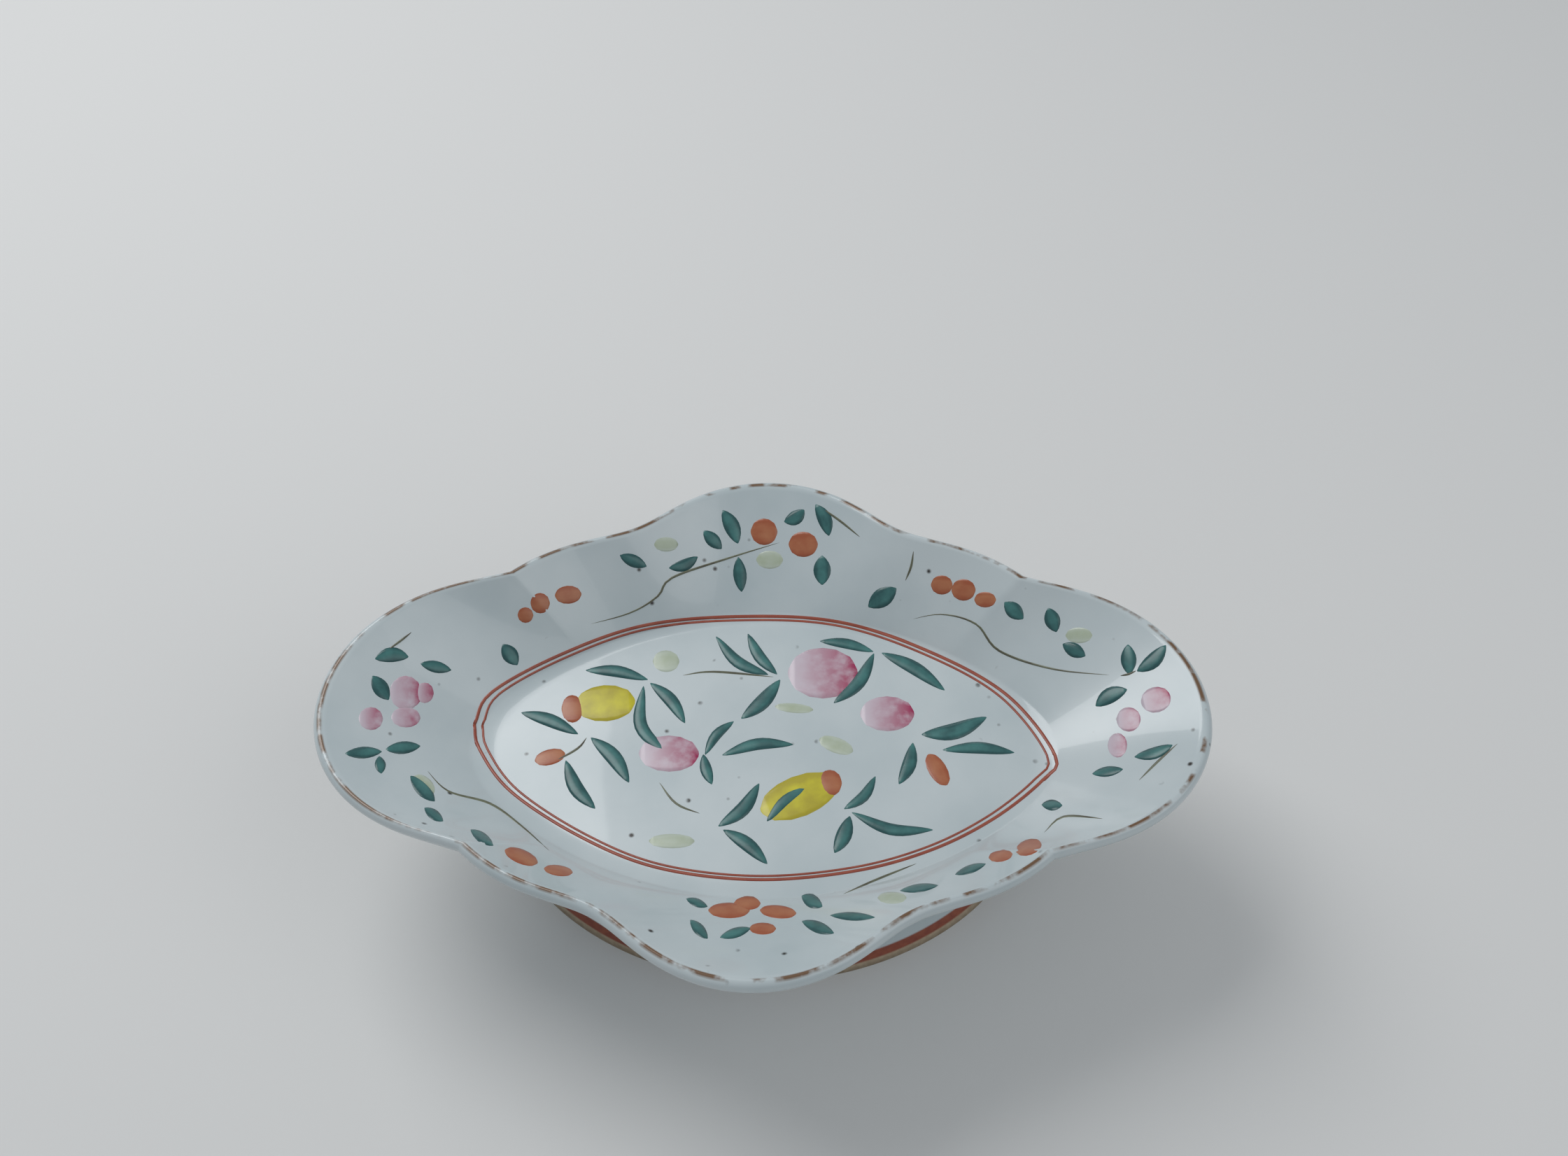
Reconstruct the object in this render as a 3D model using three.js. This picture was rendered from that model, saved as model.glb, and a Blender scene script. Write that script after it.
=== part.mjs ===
// A footed porcelain dish: a lobed lozenge-shaped dish, a hollow splayed foot,
// and the bead of slip that lutes the foot to the underside of the dish.
// Millimetres, +Z up, origin under the middle of the foot, long axis along X.
import * as THREE from 'three';

// Driving dimensions of the dish
const DISH_LENGTH = 200;
const DISH_WIDTH = 138;
const DISH_HEIGHT = 52;
const WALL = 3.6;
const OVAL_BELOW_RIM = 18;
const FLOOR_SAG = 1;
const FLOOR_THICKNESS = 4;
const FLOOR_LENGTH = 134;
const FLOOR_WIDTH = 78;

// Lobes of the rim: two ends, two sides and four shoulders
const END_RADIUS = 34;
const SIDE_RADIUS = 34;
const SHOULDER_RADIUS = 41;
const SHOULDER_FROM_END = 67;
const SHOULDER_FROM_SIDE = 60;
const LOBE_FILLET = 5.8;

// Foot
const FOOT_BASE_LENGTH = 124;
const FOOT_BASE_WIDTH = 84;
const FOOT_TOP_LENGTH = 98;
const FOOT_TOP_WIDTH = 60;
const FOOT_WALL = 4.5;
const TIP_ROUNDING = 9;

// Slip bead and the running gap between solids that touch
const SLIP_BEAD = 2.6;
const JOINT_GAP = 0.3;

// Steps of the faceted surfaces
const STEPS_ROUND = 96;
const FLOOR_STEPS = 4;
const WALL_STEPS = 5;
const LIP_STEPS = 4;
const FOOT_STEPS = 4;

const underside = DISH_HEIGHT - OVAL_BELOW_RIM - FLOOR_SAG - FLOOR_THICKNESS;

// Distance from the origin to the far side of a circle, along a ray
function rayToCircle(angle, circle) {
  const along = Math.cos(angle) * circle.x + Math.sin(angle) * circle.y;
  const reach = circle.radius ** 2 - circle.x ** 2 - circle.y ** 2 + along ** 2;
  return reach > 0 ? along + Math.sqrt(reach) : along - 3 * Math.sqrt(-reach);
}

// Eight overlapping circles joined by soft hollows make the rim's plan
function rimRadius(angle) {
  const shoulderX = DISH_LENGTH / 2 - SHOULDER_FROM_END;
  const shoulderY = DISH_WIDTH / 2 - SHOULDER_FROM_SIDE;
  const circles = [];
  for (const side of [-1, 1]) {
    circles.push({ x: side * (DISH_LENGTH / 2 - END_RADIUS), y: 0, radius: END_RADIUS });
    circles.push({ x: 0, y: side * (DISH_WIDTH / 2 - SIDE_RADIUS), radius: SIDE_RADIUS });
    for (const end of [-1, 1]) {
      circles.push({ x: end * shoulderX, y: side * shoulderY, radius: SHOULDER_RADIUS });
    }
  }
  const reaches = circles.map((circle) => rayToCircle(angle, circle));
  const largest = Math.max(...reaches);
  const sum = reaches.reduce((total, reach) => total + Math.exp((reach - largest) / LOBE_FILLET), 0);
  return largest + LOBE_FILLET * Math.log(sum);
}

// Two arcs that meet at softened tips make the oval of the floor and the foot
function ovalRadius(angle, length, width) {
  const halfLength = length / 2 + TIP_ROUNDING * Math.log(2);
  const halfWidth = width / 2;
  const arcRadius = (halfLength ** 2 + halfWidth ** 2) / (2 * halfWidth);
  const reaches = [-1, 1].map((side) =>
    rayToCircle(angle, { x: 0, y: side * (arcRadius - halfWidth), radius: arcRadius }));
  const least = Math.min(...reaches);
  const sum = reaches.reduce((total, reach) => total + Math.exp((least - reach) / TIP_ROUNDING), 0);
  return least - TIP_ROUNDING * Math.log(sum);
}

// Joins rings of points into one closed body. Each ring is a function of the
// angle giving { r, z }; the rings run from the inside of the section upwards,
// over the top and down the outside.
function bodyFromRings(rings, closesOnItself) {
  const positions = [];
  const indices = [];
  for (const ring of rings) {
    for (let step = 0; step < STEPS_ROUND; step += 1) {
      const angle = (2 * Math.PI * step) / STEPS_ROUND;
      const { r, z } = ring(angle);
      positions.push(r * Math.cos(angle), r * Math.sin(angle), z);
    }
  }
  const last = closesOnItself ? rings.length : rings.length - 1;
  for (let row = 0; row < last; row += 1) {
    const nextRow = (row + 1) % rings.length;
    for (let step = 0; step < STEPS_ROUND; step += 1) {
      const nextStep = (step + 1) % STEPS_ROUND;
      const a = row * STEPS_ROUND + step;
      const b = row * STEPS_ROUND + nextStep;
      const c = nextRow * STEPS_ROUND + nextStep;
      const d = nextRow * STEPS_ROUND + step;
      indices.push(a, c, b, a, d, c);
    }
  }
  if (!closesOnItself) {
    const caps = [{ row: 0, up: true }, { row: rings.length - 1, up: false }];
    for (const { row, up } of caps) {
      const centre = positions.length / 3;
      positions.push(0, 0, rings[row](0).z);
      for (let step = 0; step < STEPS_ROUND; step += 1) {
        const a = row * STEPS_ROUND + step;
        const b = row * STEPS_ROUND + ((step + 1) % STEPS_ROUND);
        indices.push(...(up ? [centre, a, b] : [centre, b, a]));
      }
    }
  }
  const geometry = new THREE.BufferGeometry();
  geometry.setAttribute('position', new THREE.Float32BufferAttribute(positions, 3));
  geometry.setIndex(indices);
  geometry.computeVertexNormals();
  return geometry;
}

// The dish: sagging floor, sloping wall, round lip, outer wall, flat underside
function dishGeometry() {
  const lip = WALL / 2;
  const ovalHeight = DISH_HEIGHT - OVAL_BELOW_RIM;
  const floorEdge = (angle) => ovalRadius(angle, FLOOR_LENGTH, FLOOR_WIDTH);
  const lipCentre = (angle) => rimRadius(angle) - lip;
  const wallRadius = (angle, share) =>
    floorEdge(angle) + (lipCentre(angle) - floorEdge(angle)) * share;
  const rings = [];
  for (let step = 1; step <= FLOOR_STEPS; step += 1) {
    const share = step / FLOOR_STEPS;
    const z = ovalHeight - FLOOR_SAG * (1 - share ** 2);
    rings.push((angle) => ({ r: floorEdge(angle) * share, z }));
  }
  for (let step = 1; step <= WALL_STEPS; step += 1) {
    const share = step / WALL_STEPS;
    rings.push((angle) => ({ r: wallRadius(angle, share), z: ovalHeight + OVAL_BELOW_RIM * share }));
  }
  for (let step = 1; step <= LIP_STEPS; step += 1) {
    const turn = Math.PI / 2 - (Math.PI * step) / LIP_STEPS;
    const z = DISH_HEIGHT - lip + lip * Math.sin(turn);
    rings.push((angle) => ({ r: lipCentre(angle) + lip * Math.cos(turn), z }));
  }
  for (let step = WALL_STEPS - 1; step >= 0; step -= 1) {
    const share = step / WALL_STEPS;
    const z = underside + (DISH_HEIGHT - WALL - underside) * share;
    rings.push((angle) => ({ r: wallRadius(angle, share), z }));
  }
  return bodyFromRings(rings, false);
}

// The foot's outer plan at a share of the way down from its top to its base
function footOuter(angle, share) {
  const top = ovalRadius(angle, FOOT_TOP_LENGTH, FOOT_TOP_WIDTH);
  const base = ovalRadius(angle, FOOT_BASE_LENGTH, FOOT_BASE_WIDTH);
  return top + (base - top) * share ** 1.3;
}

const footTop = underside - JOINT_GAP;

// Shares of the foot's height where its rings lie; one is level with the bead
function footShares() {
  const shares = [0, SLIP_BEAD / footTop];
  for (let step = 1; step <= FOOT_STEPS; step += 1) {
    shares.push(step / FOOT_STEPS);
  }
  return shares;
}

// The foot: a hollow splayed ring, open below, with a flat standing edge
function footGeometry() {
  const rings = [];
  for (const share of footShares().reverse()) {
    const z = footTop * (1 - share);
    rings.push((angle) => ({ r: footOuter(angle, share) - FOOT_WALL, z }));
  }
  for (const share of footShares()) {
    const z = footTop * (1 - share);
    rings.push((angle) => ({ r: footOuter(angle, share), z }));
  }
  return bodyFromRings(rings, true);
}

// The bead of slip fills the corner between the foot and the underside
function slipGeometry() {
  const z = underside - JOINT_GAP;
  const bottomShare = SLIP_BEAD / footTop;
  const inner = (angle, share) => footOuter(angle, share) + JOINT_GAP;
  const rings = [
    (angle) => ({ r: inner(angle, bottomShare), z: z - SLIP_BEAD }),
    (angle) => ({ r: inner(angle, 0), z }),
    (angle) => ({ r: inner(angle, 0) + SLIP_BEAD, z }),
  ];
  return bodyFromRings(rings, true);
}

function piece(name, geometry, color, roughness) {
  const material = new THREE.MeshStandardMaterial({ color, roughness, metalness: 0 });
  const mesh = new THREE.Mesh(geometry, material);
  mesh.name = name;
  return mesh;
}

const dish = new THREE.Group();
dish.add(piece('dish_body', dishGeometry(), 0xd4dce0, 0.18));
dish.add(piece('foot', footGeometry(), 0xd0d8da, 0.2));
dish.add(piece('luting_slip', slipGeometry(), 0xc8ced0, 0.3));

export default dish;
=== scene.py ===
"""A footed porcelain dish with painted sprays of fruit. Metres, +Z up, in the frame of the CAD."""
import math

import bpy
from mathutils import Matrix, Vector
from mathutils.bvhtree import BVHTree


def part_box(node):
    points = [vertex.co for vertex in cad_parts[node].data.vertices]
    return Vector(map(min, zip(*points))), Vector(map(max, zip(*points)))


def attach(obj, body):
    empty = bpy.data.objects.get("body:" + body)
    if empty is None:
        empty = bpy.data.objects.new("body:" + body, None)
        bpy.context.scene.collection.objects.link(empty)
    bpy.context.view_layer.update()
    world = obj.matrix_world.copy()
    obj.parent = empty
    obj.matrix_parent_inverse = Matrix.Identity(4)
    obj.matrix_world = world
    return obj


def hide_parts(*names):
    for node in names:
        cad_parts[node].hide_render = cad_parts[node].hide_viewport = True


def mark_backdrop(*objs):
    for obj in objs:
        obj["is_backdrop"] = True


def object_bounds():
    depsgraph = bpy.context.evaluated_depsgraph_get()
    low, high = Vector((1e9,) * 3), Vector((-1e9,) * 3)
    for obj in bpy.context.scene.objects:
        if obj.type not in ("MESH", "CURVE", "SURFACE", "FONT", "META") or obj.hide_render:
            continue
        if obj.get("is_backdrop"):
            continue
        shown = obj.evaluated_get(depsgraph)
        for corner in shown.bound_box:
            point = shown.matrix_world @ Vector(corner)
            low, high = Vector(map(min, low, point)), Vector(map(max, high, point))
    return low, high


MM = 0.001
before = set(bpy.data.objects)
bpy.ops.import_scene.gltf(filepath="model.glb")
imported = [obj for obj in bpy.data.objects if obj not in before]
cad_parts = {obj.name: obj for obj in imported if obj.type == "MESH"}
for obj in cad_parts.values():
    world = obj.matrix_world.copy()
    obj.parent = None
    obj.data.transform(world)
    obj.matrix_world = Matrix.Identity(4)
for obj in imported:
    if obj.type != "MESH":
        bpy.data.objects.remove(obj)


def write_bounds(bounds, key, sizes):
    sizes[key] = [list(corner) for corner in bounds]


sizes = {}
write_bounds(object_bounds(), "cad", sizes)

# Sizes of the dish, in millimetres, as the CAD has them
DISH_LOW, DISH_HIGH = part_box("dish_body")
FOOT_LOW, FOOT_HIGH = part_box("foot")
# The finer rim is drawn in this much, so that it stays inside the CAD's box
INSIDE_CAD = 0.3
DISH_LENGTH = (DISH_HIGH.x - DISH_LOW.x) / MM - INSIDE_CAD
DISH_WIDTH = (DISH_HIGH.y - DISH_LOW.y) / MM - INSIDE_CAD
DISH_HEIGHT = DISH_HIGH.z / MM
UNDERSIDE = DISH_LOW.z / MM
WALL = 3.6
OVAL_BELOW_RIM = 18
FLOOR_SAG = 1
FLOOR_LENGTH, FLOOR_WIDTH = 134, 78
END_RADIUS, SIDE_RADIUS, SHOULDER_RADIUS = 34, 34, 41
SHOULDER_FROM_END, SHOULDER_FROM_SIDE = 67, 60
LOBE_FILLET = 5.8
TIP_ROUNDING = 9
FOOT_TOP_LENGTH, FOOT_TOP_WIDTH = 98, 60
FOOT_BASE_LENGTH = (FOOT_HIGH.x - FOOT_LOW.x) / MM
FOOT_BASE_WIDTH = (FOOT_HIGH.y - FOOT_LOW.y) / MM
FOOT_WALL = 4.5
FOOT_TOP = FOOT_HIGH.z / MM
FOOT_FLARE = 1.3
# How fast a circle's reach falls off for a ray that misses it
MISS_SLOPE = 3
STEPS_ROUND = 480
FLOOR_RINGS, WALL_RINGS, LIP_RINGS, OUTER_RINGS, FOOT_RINGS = 12, 24, 12, 12, 16

# A camera fitted to the dish's outline in the photograph. Its focal length, in
# pixels of the photograph, is assumed. Angles are degrees and places millimetres.
PHOTO_WIDTH, PHOTO_HEIGHT = 2241, 1652
FOCAL_PIXELS = 2200
CAMERA_PITCH, CAMERA_ROLL, DISH_YAW = 49.15, -1.02, -2.05
CAMERA_ABOVE_RIM = 277.6
CAMERA_AT = Vector((5.7, -204.0, DISH_HEIGHT + CAMERA_ABOVE_RIM)) * MM


def camera_turn():
    """Rotation of the camera in the frame of the dish."""
    pitch, roll = math.radians(CAMERA_PITCH), math.radians(CAMERA_ROLL)
    right = Vector((1, 0, 0))
    up = Vector((0, math.sin(pitch), math.cos(pitch)))
    back = Vector((0, -math.cos(pitch), math.sin(pitch)))
    turned_right = right * math.cos(roll) + up * math.sin(roll)
    turned_up = up * math.cos(roll) - right * math.sin(roll)
    axes = Matrix((turned_right, turned_up, back)).transposed()
    return Matrix.Rotation(-math.radians(DISH_YAW), 3, "Z") @ axes


CAMERA_TURN = camera_turn()
CAMERA_PLACE = Matrix.Rotation(-math.radians(DISH_YAW), 3, "Z") @ CAMERA_AT


def ray_to_circle(angle, x, y, radius):
    """Distance from the middle to the far side of a circle."""
    along = math.cos(angle) * x + math.sin(angle) * y
    reach = radius ** 2 - x ** 2 - y ** 2 + along ** 2
    return along + math.sqrt(reach) if reach > 0 else along - MISS_SLOPE * math.sqrt(-reach)


def rim_radius(angle):
    """Eight overlapping circles joined by soft hollows."""
    circles = []
    for side in (-1, 1):
        circles.append((side * (DISH_LENGTH / 2 - END_RADIUS), 0, END_RADIUS))
        circles.append((0, side * (DISH_WIDTH / 2 - SIDE_RADIUS), SIDE_RADIUS))
        for end in (-1, 1):
            x = end * (DISH_LENGTH / 2 - SHOULDER_FROM_END)
            y = side * (DISH_WIDTH / 2 - SHOULDER_FROM_SIDE)
            circles.append((x, y, SHOULDER_RADIUS))
    reaches = [ray_to_circle(angle, *circle) for circle in circles]
    largest = max(reaches)
    total = sum(math.exp((reach - largest) / LOBE_FILLET) for reach in reaches)
    return largest + LOBE_FILLET * math.log(total)


def oval_radius(angle, length, width):
    """Two arcs that meet at softened tips."""
    half_length, half_width = length / 2 + TIP_ROUNDING * math.log(2), width / 2
    arc = (half_length ** 2 + half_width ** 2) / (2 * half_width)
    reaches = [ray_to_circle(angle, 0, side * (arc - half_width), arc) for side in (-1, 1)]
    least = min(reaches)
    total = sum(math.exp((least - reach) / TIP_ROUNDING) for reach in reaches)
    return least - TIP_ROUNDING * math.log(total)


def mesh_object(name, verts, faces, material):
    """A smooth mesh of one material, from points in millimetres."""
    mesh = bpy.data.meshes.new(name)
    mesh.from_pydata([Vector(vert) * MM for vert in verts], [], faces)
    mesh.polygons.foreach_set("use_smooth", [True] * len(faces))
    mesh.materials.append(material)
    piece = bpy.data.objects.new(name, mesh)
    bpy.context.collection.objects.link(piece)
    return piece


def rings_object(name, rings, closes, material):
    """Joins rings of points into a closed body; each ring gives (radius, height) at an angle."""
    verts, faces = [], []
    for ring in rings:
        for step in range(STEPS_ROUND):
            angle = 2 * math.pi * step / STEPS_ROUND
            radius, height = ring(angle)
            verts.append((radius * math.cos(angle), radius * math.sin(angle), height))
    for row in range(len(rings) if closes else len(rings) - 1):
        after = (row + 1) % len(rings)
        for step in range(STEPS_ROUND):
            beside = (step + 1) % STEPS_ROUND
            low, high = row * STEPS_ROUND, after * STEPS_ROUND
            faces.append((low + step, high + step, high + beside, low + beside))
    if not closes:
        last = (len(rings) - 1) * STEPS_ROUND
        for first, upwards in ((0, True), (last, False)):
            centre = len(verts)
            verts.append((0, 0, verts[first][2]))
            for step in range(STEPS_ROUND):
                pair = (first + step, first + (step + 1) % STEPS_ROUND)
                faces.append((centre, *pair) if upwards else (centre, *reversed(pair)))
    return mesh_object(name, verts, faces, material)


# Masks and mixes that the finishes share
NOISE_DETAIL = 4.0
# Numbers of the colour sockets on a mix node
MIX_FIRST, MIX_SECOND, MIX_RESULT = 6, 7, 2


def new_material(name):
    material = bpy.data.materials.new(name)
    material.use_nodes = True
    return material, material.node_tree.nodes, material.node_tree.links


def noise_mask(nodes, links, scale, low, high):
    """A mask of soft patches between two noise levels, in object coordinates."""
    place = nodes.new("ShaderNodeTexCoord")
    noise = nodes.new("ShaderNodeTexNoise")
    noise.inputs["Scale"].default_value = scale
    noise.inputs["Detail"].default_value = NOISE_DETAIL
    links.new(place.outputs["Object"], noise.inputs["Vector"])
    spread = nodes.new("ShaderNodeMapRange")
    spread.inputs["From Min"].default_value = low
    spread.inputs["From Max"].default_value = high
    links.new(noise.outputs["Fac"], spread.inputs["Value"])
    return spread.outputs["Result"]


def mix(nodes, links, mask, first, second):
    """Mixes two colours, each a colour socket or a colour."""
    blend = nodes.new("ShaderNodeMix")
    blend.data_type = "RGBA"
    links.new(mask, blend.inputs["Factor"])
    for socket, colour in ((blend.inputs[MIX_FIRST], first), (blend.inputs[MIX_SECOND], second)):
        if isinstance(colour, tuple):
            socket.default_value = (*colour, 1)
        else:
            links.new(colour, socket)
    return blend.outputs[MIX_RESULT]


def speck_mask(nodes, links, scale, size):
    """Small iron spots at scattered places."""
    place = nodes.new("ShaderNodeTexCoord")
    cells = nodes.new("ShaderNodeTexVoronoi")
    cells.inputs["Scale"].default_value = scale
    links.new(place.outputs["Object"], cells.inputs["Vector"])
    spread = nodes.new("ShaderNodeMapRange")
    spread.inputs["From Min"].default_value = size
    spread.inputs["From Max"].default_value = size * 0.4
    links.new(cells.outputs["Distance"], spread.inputs["Value"])
    patches = noise_mask(nodes, links, scale=60, low=0.5, high=0.56)
    return product(nodes, links, spread.outputs["Result"], patches)


def height_mask(nodes, links, low, high):
    """0 below the height low and 1 above the height high, both in millimetres."""
    place = nodes.new("ShaderNodeTexCoord")
    split = nodes.new("ShaderNodeSeparateXYZ")
    links.new(place.outputs["Object"], split.inputs["Vector"])
    spread = nodes.new("ShaderNodeMapRange")
    spread.inputs["From Min"].default_value = low * MM
    spread.inputs["From Max"].default_value = high * MM
    links.new(split.outputs["Z"], spread.inputs["Value"])
    return spread.outputs["Result"]


def product(nodes, links, first, second):
    both = nodes.new("ShaderNodeMath")
    both.operation = "MULTIPLY"
    links.new(first, both.inputs[0])
    links.new(second, both.inputs[1])
    return both.outputs["Value"]


GLAZE = (0.56, 0.62, 0.635)
GLAZE_SHADE = (0.47, 0.54, 0.56)
IRON_SPECK = (0.03, 0.025, 0.02)
RIM_BROWN = (0.16, 0.085, 0.04)


def glaze_colour(nodes, links):
    patches = noise_mask(nodes, links, scale=35, low=0.35, high=0.7)
    white = mix(nodes, links, patches, GLAZE, GLAZE_SHADE)
    specks = speck_mask(nodes, links, scale=170, size=0.13)
    return mix(nodes, links, specks, white, IRON_SPECK)


def glaze_bump(nodes, links, strength=0.05):
    place = nodes.new("ShaderNodeTexCoord")
    noise = nodes.new("ShaderNodeTexNoise")
    noise.inputs["Scale"].default_value = 140
    links.new(place.outputs["Object"], noise.inputs["Vector"])
    bump = nodes.new("ShaderNodeBump")
    bump.inputs["Strength"].default_value = strength
    bump.inputs["Distance"].default_value = 0.0004
    links.new(noise.outputs["Fac"], bump.inputs["Height"])
    return bump.outputs["Normal"]


def dish_glaze():
    """Bluish white glaze with a worn brown line on the crest of the rim."""
    material, nodes, links = new_material("dish_glaze")
    shader = nodes["Principled BSDF"]
    crest = height_mask(nodes, links, DISH_HEIGHT - 0.3, DISH_HEIGHT - 0.05)
    wear = noise_mask(nodes, links, scale=180, low=0.42, high=0.55)
    worn = product(nodes, links, crest, wear)
    colour = mix(nodes, links, worn, glaze_colour(nodes, links), RIM_BROWN)
    links.new(colour, shader.inputs["Base Color"])
    links.new(glaze_bump(nodes, links), shader.inputs["Normal"])
    shader.inputs["Roughness"].default_value = 0.22
    shader.inputs["Coat Weight"].default_value = 0.4
    return material


def foot_glaze():
    """The same glaze with an unglazed buff edge and an iron-red band above it."""
    material, nodes, links = new_material("foot_glaze")
    shader = nodes["Principled BSDF"]
    above_band = height_mask(nodes, links, low=3.2, high=3.6)
    above_edge = height_mask(nodes, links, low=1.2, high=1.6)
    grain = noise_mask(nodes, links, scale=700, low=0.3, high=0.7)
    buff = mix(nodes, links, grain, (0.5, 0.4, 0.28), (0.36, 0.27, 0.18))
    band = mix(nodes, links, grain, (0.22, 0.05, 0.03), (0.3, 0.08, 0.04))
    glazed = mix(nodes, links, above_band, band, glaze_colour(nodes, links))
    colour = mix(nodes, links, above_edge, buff, glazed)
    links.new(colour, shader.inputs["Base Color"])
    links.new(glaze_bump(nodes, links), shader.inputs["Normal"])
    shader.inputs["Roughness"].default_value = 0.3
    return material


def shaded_fruit(name, pale, deep):
    """Fruit enamel that deepens from a pale shoulder to a strong tip, along the stroke."""
    material, nodes, links = new_material(name)
    shader = nodes["Principled BSDF"]
    uv = nodes.new("ShaderNodeUVMap")
    split = nodes.new("ShaderNodeSeparateXYZ")
    links.new(uv.outputs["UV"], split.inputs["Vector"])
    along = nodes.new("ShaderNodeMapRange")
    along.inputs["From Min"].default_value = 0.15
    along.inputs["From Max"].default_value = 0.9
    links.new(split.outputs["X"], along.inputs["Value"])
    brushed = noise_mask(nodes, links, scale=300, low=0.2, high=0.6)
    mask = product(nodes, links, along.outputs["Result"], brushed)
    links.new(mix(nodes, links, mask, pale, deep), shader.inputs["Base Color"])
    shader.inputs["Roughness"].default_value = 0.25
    return material


def slip_glaze():
    """Glaze over the rougher bead of slip."""
    material, nodes, links = new_material("slip")
    shader = nodes["Principled BSDF"]
    links.new(glaze_colour(nodes, links), shader.inputs["Base Color"])
    links.new(glaze_bump(nodes, links, strength=0.4), shader.inputs["Normal"])
    shader.inputs["Roughness"].default_value = 0.35
    return material


def enamel(name, middle, edge):
    """Brushed enamel that pools from one tone to another across a stroke."""
    material, nodes, links = new_material(name)
    shader = nodes["Principled BSDF"]
    uv = nodes.new("ShaderNodeUVMap")
    split = nodes.new("ShaderNodeSeparateXYZ")
    links.new(uv.outputs["UV"], split.inputs["Vector"])
    across = nodes.new("ShaderNodeMapRange")
    across.inputs["From Min"].default_value = 0.35
    across.inputs["From Max"].default_value = 1.0
    links.new(split.outputs["Y"], across.inputs["Value"])
    brushed = noise_mask(nodes, links, scale=260, low=0.3, high=0.75)
    pooled = nodes.new("ShaderNodeMath")
    pooled.operation = "ADD"
    pooled.use_clamp = True
    links.new(across.outputs["Result"], pooled.inputs[0])
    links.new(brushed, pooled.inputs[1])
    thinned = nodes.new("ShaderNodeMath")
    thinned.operation = "MULTIPLY"
    thinned.inputs[1].default_value = 0.8
    links.new(pooled.outputs["Value"], thinned.inputs[0])
    colour = mix(nodes, links, thinned.outputs["Value"], middle, edge)
    links.new(colour, shader.inputs["Base Color"])
    shader.inputs["Roughness"].default_value = 0.28
    return material


def dish_piece():
    """The dish as the CAD has it, with finer steps."""
    lip = WALL / 2
    oval_height = DISH_HEIGHT - OVAL_BELOW_RIM

    def floor_edge(angle):
        return oval_radius(angle, FLOOR_LENGTH, FLOOR_WIDTH)

    def wall_radius(angle, share):
        return floor_edge(angle) + (rim_radius(angle) - lip - floor_edge(angle)) * share

    rings = []
    for step in range(1, FLOOR_RINGS + 1):
        share = step / FLOOR_RINGS
        rings.append(lambda angle, share=share: (
            floor_edge(angle) * share, oval_height - FLOOR_SAG * (1 - share ** 2)))
    for step in range(1, WALL_RINGS + 1):
        share = step / WALL_RINGS
        rings.append(lambda angle, share=share: (
            wall_radius(angle, share), oval_height + OVAL_BELOW_RIM * share))
    for step in range(1, LIP_RINGS + 1):
        turn = math.pi / 2 - math.pi * step / LIP_RINGS
        rings.append(lambda angle, turn=turn: (
            rim_radius(angle) - lip + lip * math.cos(turn),
            DISH_HEIGHT - lip + lip * math.sin(turn)))
    for step in range(OUTER_RINGS - 1, -1, -1):
        share = step / OUTER_RINGS
        rings.append(lambda angle, share=share: (
            wall_radius(angle, share), UNDERSIDE + (DISH_HEIGHT - WALL - UNDERSIDE) * share))
    return rings_object("dish", rings, False, dish_glaze())


def foot_outer(angle, share):
    """The foot's outer plan at a share of the way down from its top."""
    top = oval_radius(angle, FOOT_TOP_LENGTH, FOOT_TOP_WIDTH)
    base = oval_radius(angle, FOOT_BASE_LENGTH, FOOT_BASE_WIDTH)
    return top + (base - top) * share ** FOOT_FLARE


def foot_piece():
    """The hollow splayed foot: up its inside, then down its outside."""
    shares = [step / FOOT_RINGS for step in range(FOOT_RINGS + 1)]
    rings = [lambda angle, share=share: (foot_outer(angle, share) - FOOT_WALL, FOOT_TOP * (1 - share))
             for share in reversed(shares)]
    rings += [lambda angle, share=share: (foot_outer(angle, share), FOOT_TOP * (1 - share))
              for share in shares]
    return rings_object("foot_body", rings, True, foot_glaze())


dish = dish_piece()
foot = foot_piece()
for piece, node, slot in ((dish, "dish_body", "dish_glaze"), (foot, "foot", "foot_glaze")):
    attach(piece, "root")
    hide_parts(node)
slip_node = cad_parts["luting_slip"]
slip_node.data.materials.clear()
slip_node.data.materials.append(slip_glaze())

# The painted sprays. Each stroke lies where the photograph shows it: a pixel of
# the photograph is cast from its camera onto the glaze. Strokes are counted
# from FIELD_CORNER, in pixels of the photograph.
FIELD_CORNER = (400, 640)
bpy.context.view_layer.update()
GLAZE_TREE = BVHTree.FromObject(dish, bpy.context.evaluated_depsgraph_get())
# Millimetres that the enamel stands proud of the glaze; its edge and back are sunk in it
LIFT = 0.16
LEAF_LIFT = 0.3
SINK = -0.12
EDGE_SINK = SINK * 0.4
# Steps of a brush stroke and of a round dab
STROKE_COLUMNS = 5
STROKE_STEP = 8
DAB_STEPS = 7
STROKE_TAPER = 0.7
THINNEST_TIP = 0.06
LEAST_CHORD = 0.004


def on_glaze(pixel):
    """Point on the glaze under a pixel, and its normal, in millimetres."""
    x = pixel[0] + FIELD_CORNER[0] - PHOTO_WIDTH / 2
    y = PHOTO_HEIGHT / 2 - pixel[1] - FIELD_CORNER[1]
    ray = CAMERA_TURN @ Vector((x / FOCAL_PIXELS, y / FOCAL_PIXELS, -1))
    point, normal, _, _ = GLAZE_TREE.ray_cast(CAMERA_PLACE, ray.normalized())
    return point / MM, normal


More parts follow.
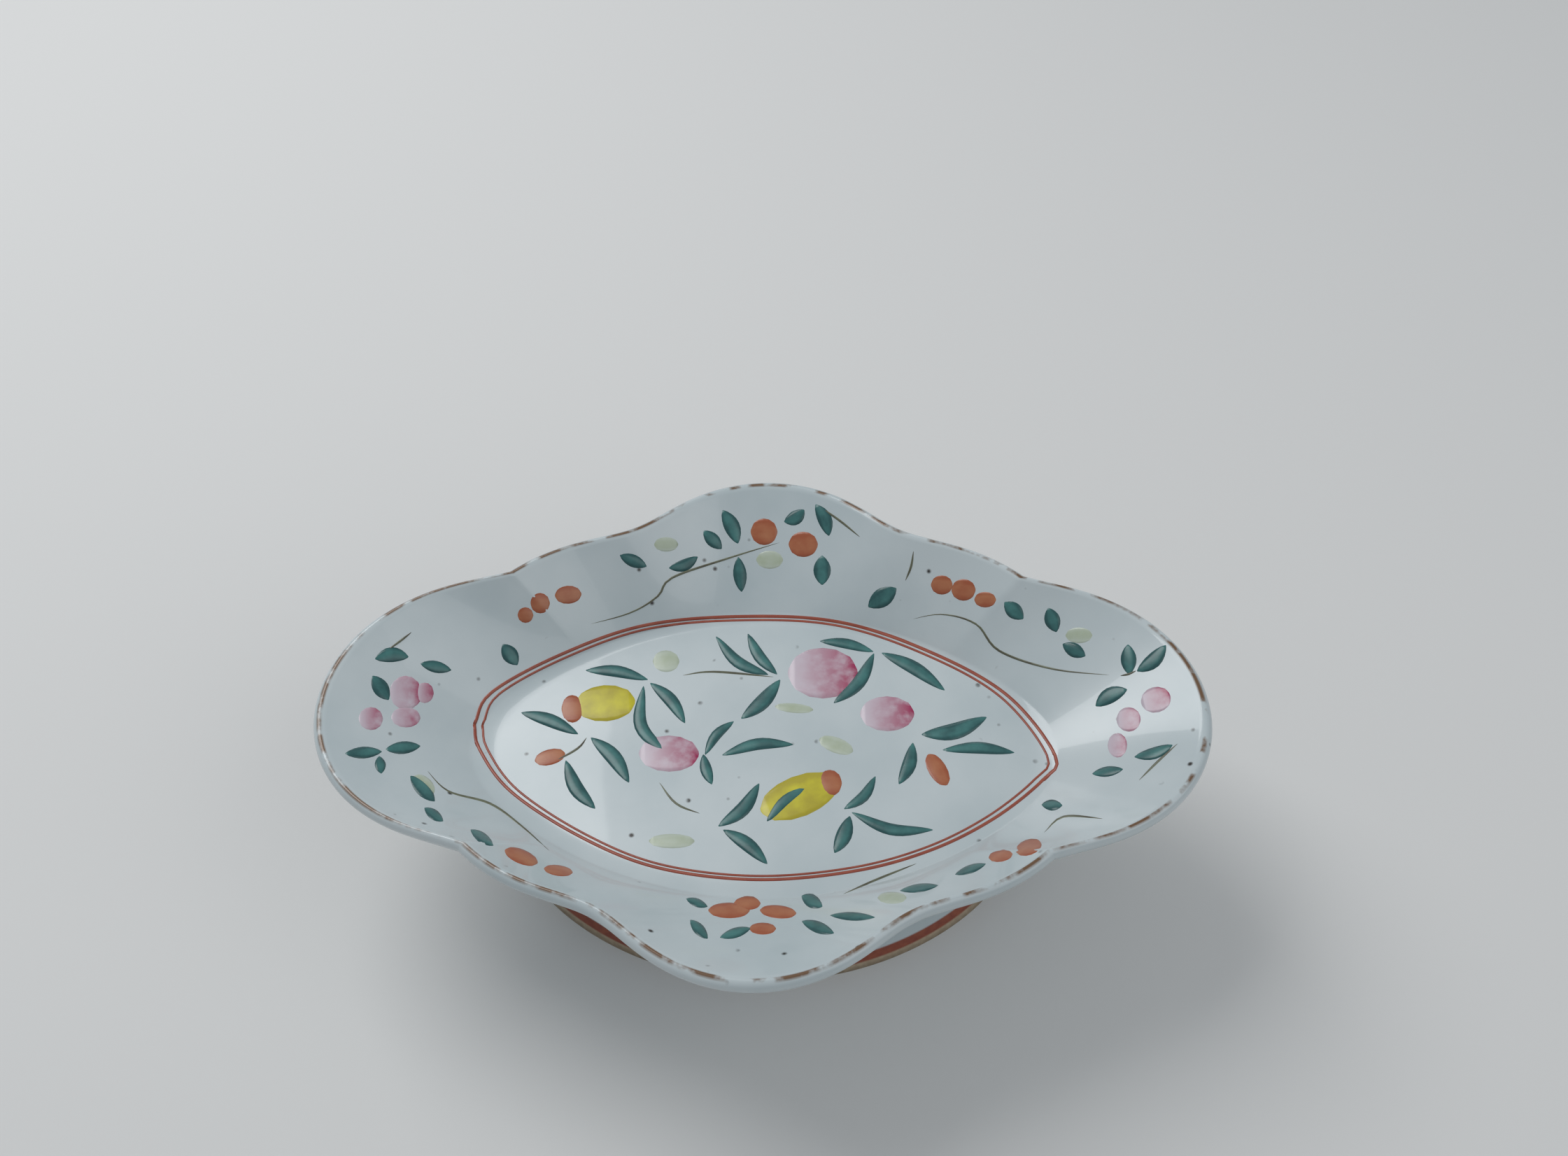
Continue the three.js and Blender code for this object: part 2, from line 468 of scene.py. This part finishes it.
def enamel_film(name, grid, material):
    """A thin closed film over a grid of (pixel, height share); its rim sinks into the glaze."""
    verts, uvs = [], []
    rows, columns = len(grid), len(grid[0])
    for layer in (0, 1):
        for row, line in enumerate(grid):
            for column, (pixel, height) in enumerate(line):
                point, normal = on_glaze(pixel)
                top = LEAF_LIFT if material is TEAL else LIFT
                lift = EDGE_SINK + (top - EDGE_SINK) * height if layer == 0 else SINK
                verts.append(point + normal * lift)
                uvs.append((row / (rows - 1), abs(2 * column / (columns - 1) - 1)))
    size = rows * columns
    faces = []
    for row in range(rows - 1):
        for column in range(columns - 1):
            corner = row * columns + column
            quad = (corner, corner + columns, corner + columns + 1, corner + 1)
            faces.append(quad)
            faces.append(tuple(size + index for index in reversed(quad)))
    edge = list(range(columns))
    edge += [row * columns + columns - 1 for row in range(1, rows)]
    edge += [(rows - 1) * columns + column for column in range(columns - 2, -1, -1)]
    edge += [row * columns for row in range(rows - 2, 0, -1)]
    for here, after in zip(edge, edge[1:] + edge[:1]):
        faces.append((here, after, size + after, size + here))
    piece = mesh_object(name, verts, faces, material)
    stroke_map = piece.data.uv_layers.new(name="stroke")
    for loop in piece.data.loops:
        stroke_map.data[loop.index].uv = uvs[loop.vertex_index]
    return piece


def brush_stroke(name, path, width, material, taper=True, bend=0.0):
    """A brush stroke along pixels, with pointed ends where taper is set."""
    points = smooth_path(path, bend)
    grid = []
    for index, point in enumerate(points):
        before, after = points[max(index - 1, 0)], points[min(index + 1, len(points) - 1)]
        along = (after - before).normalized()
        side = Vector((-along.y, along.x))
        share = index / (len(points) - 1)
        swell = max(math.sin(math.pi * share) ** STROKE_TAPER, THINNEST_TIP) if taper else 1.0
        line = []
        for column in range(STROKE_COLUMNS):
            across = 2 * column / (STROKE_COLUMNS - 1) - 1
            place = point + side * across * width / 2 * swell
            line.append((place, (1 - across ** 2) * swell))
        grid.append(line)
    return enamel_film(name, grid, material)


def smooth_path(path, bend):
    """A smooth curve through the pixels; a two-point path is bowed by bend of its length."""
    points = [Vector(point) for point in path]
    if len(points) == 2:
        span = points[1] - points[0]
        middle = (points[0] + points[1]) / 2 + Vector((-span.y, span.x)) * bend
        points = [points[0], middle, points[1]]
    ends = [points[0] * 2 - points[1]] + points + [points[-1] * 2 - points[-2]]
    smooth = []
    for index in range(1, len(ends) - 2):
        p0, p1, p2, p3 = ends[index - 1:index + 3]
        steps = max(4, int((p2 - p1).length / STROKE_STEP))
        for step in range(steps):
            t = step / steps
            smooth.append(0.5 * (2 * p1 + (p2 - p0) * t + (2 * p0 - 5 * p1 + 4 * p2 - p3) * t * t
                                 + (3 * p1 - p0 - 3 * p2 + p3) * t ** 3))
    return smooth + [points[-1]]


def round_dab(name, centre, half, turn, material):
    """A round dab about a pixel, with half sizes along and across, turned in degrees."""
    turned = math.radians(turn)
    grid = []
    for row in range(DAB_STEPS):
        share = 2 * row / (DAB_STEPS - 1) - 1
        chord = math.sqrt(max(1 - share ** 2, LEAST_CHORD))
        line = []
        for column in range(DAB_STEPS):
            across = (2 * column / (DAB_STEPS - 1) - 1) * chord
            x, y = share * half[0], across * half[1]
            place = Vector((centre[0] + x * math.cos(turned) - y * math.sin(turned),
                            centre[1] + x * math.sin(turned) + y * math.cos(turned)))
            line.append((place, max(1 - share ** 2 - across ** 2, 0)))
        grid.append(line)
    return enamel_film(name, grid, material)


TEAL = enamel("teal_enamel", (0.06, 0.2, 0.19), (0.012, 0.06, 0.065))
YELLOW = enamel("yellow_enamel", (0.62, 0.56, 0.03), (0.4, 0.33, 0.03))
PINK = shaded_fruit("pink_enamel", (0.58, 0.5, 0.56), (0.36, 0.03, 0.1))
ORANGE = enamel("orange_enamel", (0.44, 0.17, 0.08), (0.33, 0.075, 0.03))
PALE_GREEN = enamel("pale_green_wash", (0.4, 0.46, 0.33), (0.5, 0.56, 0.48))
TWIG = enamel("twig_line", (0.06, 0.05, 0.035), (0.2, 0.22, 0.14))
IRON_RED = enamel("iron_red_line", (0.36, 0.09, 0.05), (0.26, 0.05, 0.03))

# Leaves: stalk, tip, width in pixels, and bow as a share of the length
FIELD_LEAVES = [
    ((528, 332), (435, 318), 15, 0.06), ((528, 335), (580, 395), 17, -0.08),
    ((520, 338), (558, 441), 17, 0.22), ((428, 410), (343, 378), 17, 0.05),
    ((443, 413), (500, 480), 20, -0.08), ((408, 445), (452, 517), 19, 0.1),
    ((700, 325), (622, 268), 15, -0.12), ((712, 325), (668, 264), 15, -0.08),
    ((716, 330), (658, 388), 19, -0.06), ((850, 292), (770, 276), 13, 0.05),
    ((850, 292), (790, 366), 17, -0.1), ((858, 292), (952, 348), 17, -0.05),
    ((607, 440), (650, 390), 13, -0.1), ((605, 437), (618, 482), 15, 0.05),
    ((630, 440), (736, 424), 15, -0.08), ((915, 410), (1012, 384), 21, 0.08),
    ((945, 432), (1052, 436), 15, -0.05), ((905, 420), (884, 482), 18, -0.08),
    ((625, 542), (686, 478), 18, 0.1), ((695, 535), (760, 482), 17, -0.08),
    ((632, 545), (698, 596), 18, -0.06), ((805, 517), (852, 468), 14, 0.12),
    ((815, 520), (936, 546), 15, 0.1), ((815, 525), (792, 580), 20, -0.05),
]
BORDER_LEAVES = [
    ((655, 138), (632, 88), 20, 0.05), ((632, 145), (605, 118), 17, 0),
    ((655, 155), (660, 207), 17, 0), ((720, 106), (750, 88), 18, 0.1),
    ((785, 127), (765, 80), 18, 0.08), ((775, 153), (775, 197), 22, 0),
    ((525, 170), (485, 153), 16, 0), ((555, 172), (598, 155), 15, 0.1),
    ((340, 311), (318, 280), 20, 0), ((840, 228), (882, 200), 24, 0),
    ((1035, 220), (1063, 245), 20, 0), ((1098, 228), (1110, 264), 20, 0),
    ((1118, 280), (1152, 298), 18, 0), ((1214, 325), (1212, 280), 20, 0),
    ((1224, 320), (1267, 281), 19, 0.08), ((1165, 370), (1212, 345), 20, -0.08),
    ((1220, 442), (1277, 424), 15, 0.06), ((1160, 466), (1206, 459), 13, 0),
    ((185, 299), (135, 302), 19, 0.1), ((200, 308), (246, 318), 15, 0),
    ((132, 325), (156, 361), 20, 0), ((147, 434), (92, 437), 15, 0),
    ((150, 431), (202, 426), 16, 0), ((142, 440), (145, 466), 14, 0),
    ((186, 468), (222, 506), 18, 0), ((206, 514), (234, 534), 13, 0),
    ((272, 545), (306, 569), 13, 0), ((1088, 510), (1119, 511), 14, 0),
    ((1010, 594), (964, 610), 11, 0), ((885, 633), (942, 625), 11, 0),
    ((612, 656), (580, 644), 11, 0), ((612, 702), (586, 674), 14, 0),
    ((628, 700), (674, 686), 13, 0), ((745, 640), (776, 656), 17, 0),
    ((745, 676), (793, 694), 15, 0), ((785, 668), (852, 671), 11, 0),
]
# Round dabs: centre, half sizes in pixels, and turn in degrees
YELLOW_FRUIT = [((465, 365), (50, 30), -5), ((742, 498), (68, 34), -22)]
PINK_FRUIT = [
    ((776, 322), (58, 42), 0), ((868, 380), (45, 29), 0), ((556, 437), (50, 30), 0),
    ((180, 350), (26, 28), 0), ((130, 387), (20, 19), 0), ((180, 385), (24, 17), 0),
    ((207, 350), (15, 17), 0), ((1252, 360), (25, 21), -15), ((1213, 388), (20, 20), 0),
    ((1197, 425), (16, 20), 0),
]
ORANGE_DABS = [
    ((418, 373), (18, 23), 0), ((786, 479), (20, 22), 0), ((386, 442), (26, 13), -15),
    ((940, 460), (30, 15), 58), ((692, 120), (22, 22), 0), ((748, 138), (24, 21), 0),
    ((412, 210), (22, 15), -5), ((372, 222), (16, 17), 0), ((351, 239), (13, 13), 0),
    ((946, 196), (18, 16), 0), ((977, 203), (20, 18), 0), ((1008, 217), (18, 13), 0),
    ((345, 584), (29, 12), 22), ((398, 604), (24, 9), 8), ((642, 661), (34, 13), 0),
    ((668, 651), (22, 11), 0), ((712, 663), (30, 11), 5), ((690, 687), (22, 10), 0),
    ((1070, 571), (22, 13), -20), ((1030, 583), (20, 10), -10),
]
PALE_WASHES = [
    ((552, 305), (22, 18), 0), ((700, 160), (22, 15), 0), ((205, 482), (22, 14), 40),
    ((560, 562), (38, 12), 0), ((795, 425), (30, 13), 20), ((735, 372), (32, 8), 5),
    ((875, 643), (24, 10), 0), ((1142, 268), (22, 13), 0), ((552, 138), (20, 12), 0),
]
LEAF_FULLNESS = 1.25
TWIG_WIDTH = 4.0
TWIG_BOW = 0.05
TWIGS = [
    [(432, 255), (500, 236), (540, 212), (560, 186), (640, 158), (725, 132)],
    [(890, 248), (945, 238), (995, 252), (1028, 290), (1105, 316), (1200, 326)],
    [(205, 455), (240, 490), (300, 508), (345, 540), (392, 582)],
    [(893, 192), (902, 170), (906, 145)], [(765, 80), (800, 104), (832, 130)],
    [(150, 292), (172, 276), (190, 262)], [(540, 475), (566, 508), (604, 524)],
    [(800, 640), (850, 618), (915, 592)], [(1090, 552), (1120, 527), (1180, 530)],
    [(1225, 478), (1255, 448), (1286, 420)], [(570, 326), (620, 320), (712, 328)],
    [(1200, 326), (1225, 318)], [(385, 452), (425, 430), (440, 412)],
]
# The double line round the floor: the outer line's pixels, and the scale of the inner one
OVAL_LINE = [
    (278, 395), (302, 350), (400, 296), (520, 254), (660, 241), (800, 249), (930, 292),
    (1040, 354), (1108, 440), (1090, 475), (1020, 530), (930, 575), (820, 605),
    (680, 617), (540, 600), (430, 556), (330, 491), (285, 430),
]
OVAL_CENTRE = (690, 430)
OVAL_STEP_IN = 0.972
OUTER_LINE_WIDTH, INNER_LINE_WIDTH = 5.5, 4


def oval_line(name, scale, width):
    """One of the two red lines, scaled about the middle of the oval."""
    centre = Vector(OVAL_CENTRE)
    ring = [centre + (Vector(point) - centre) * scale for point in OVAL_LINE]
    return brush_stroke(name, ring + ring[:1], width, IRON_RED, taper=False)


def paint():
    """Every stroke, from the lowest film to the highest."""
    painted = [oval_line("oval_line_outer", 1.0, OUTER_LINE_WIDTH)]
    painted.append(oval_line("oval_line_inner", OVAL_STEP_IN, INNER_LINE_WIDTH))
    for place, (centre, half, turn) in enumerate(PALE_WASHES):
        painted.append(round_dab(f"pale_wash_{place}", centre, half, turn, PALE_GREEN))
    for place, path in enumerate(TWIGS):
        painted.append(brush_stroke(f"twig_{place}", path, TWIG_WIDTH, TWIG, bend=TWIG_BOW))
    for kind, dabs, material in (("yellow", YELLOW_FRUIT, YELLOW), ("pink", PINK_FRUIT, PINK),
                                 ("orange", ORANGE_DABS, ORANGE)):
        for place, (centre, half, turn) in enumerate(dabs):
            painted.append(round_dab(f"{kind}_fruit_{place}", centre, half, turn, material))
    for kind, leaves in (("field", FIELD_LEAVES), ("border", BORDER_LEAVES)):
        for place, (stalk, tip, width, bow) in enumerate(leaves):
            name = f"{kind}_leaf_{place}"
            painted.append(brush_stroke(name, [stalk, tip], width * LEAF_FULLNESS, TEAL, bend=bow))
    return painted


def join(pieces, name):
    """One object per kind of enamel."""
    with bpy.context.temp_override(active_object=pieces[0], selected_editable_objects=pieces):
        bpy.ops.object.join()
    pieces[0].name = name
    return pieces[0]


by_enamel = {}
for piece in paint():
    by_enamel.setdefault(piece.data.materials[0].name, []).append(piece)
for name, pieces in by_enamel.items():
    film = join(pieces, f"painted_{name}")
    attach(film, "root")


# Soft lights: name, place and size in metres, and power in watts
LIGHTS = [
    ("key", (-0.5, 0.5, 0.9), 0.7, 6),
    ("fill", (0.8, -0.4, 0.8), 1.0, 2.5),
]


def floor_and_light():
    """A pale floor, two soft lights and a soft sky; none belongs to the dish."""
    bpy.ops.mesh.primitive_plane_add(size=8)
    floor = bpy.context.object
    material, nodes, _ = new_material("plain_floor")
    nodes["Principled BSDF"].inputs["Base Color"].default_value = (0.72, 0.72, 0.71, 1)
    nodes["Principled BSDF"].inputs["Roughness"].default_value = 0.8
    floor.data.materials.append(material)
    made = [floor]
    for name, place, size, power in LIGHTS:
        light = bpy.data.lights.new(name, "AREA")
        light.size = size
        light.energy = power
        lamp = bpy.data.objects.new(name, light)
        bpy.context.collection.objects.link(lamp)
        lamp.location = place
        lamp.rotation_mode = "QUATERNION"
        lamp.rotation_quaternion = (-Vector(place)).to_track_quat("-Z", "Y")
        made.append(lamp)
    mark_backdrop(*made)
    world = bpy.data.worlds.new("soft_room")
    world.use_nodes = True
    world.node_tree.nodes["Background"].inputs["Color"].default_value = (0.8, 0.85, 0.9, 1)
    world.node_tree.nodes["Background"].inputs["Strength"].default_value = 0.42
    bpy.context.scene.world = world


def photo_camera():
    """The camera at the photograph's angle."""
    camera = bpy.data.cameras.new("photo_camera")
    camera.sensor_width = 36
    camera.lens = FOCAL_PIXELS / PHOTO_WIDTH * camera.sensor_width
    camera.clip_start = 0.01
    holder = bpy.data.objects.new("photo_camera", camera)
    bpy.context.collection.objects.link(holder)
    holder.matrix_world = CAMERA_TURN.to_4x4()
    holder.location = CAMERA_PLACE
    bpy.context.scene.camera = holder


floor_and_light()
photo_camera()
bpy.context.scene.view_settings.view_transform = "Standard"
write_bounds(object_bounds(), "dish", sizes)
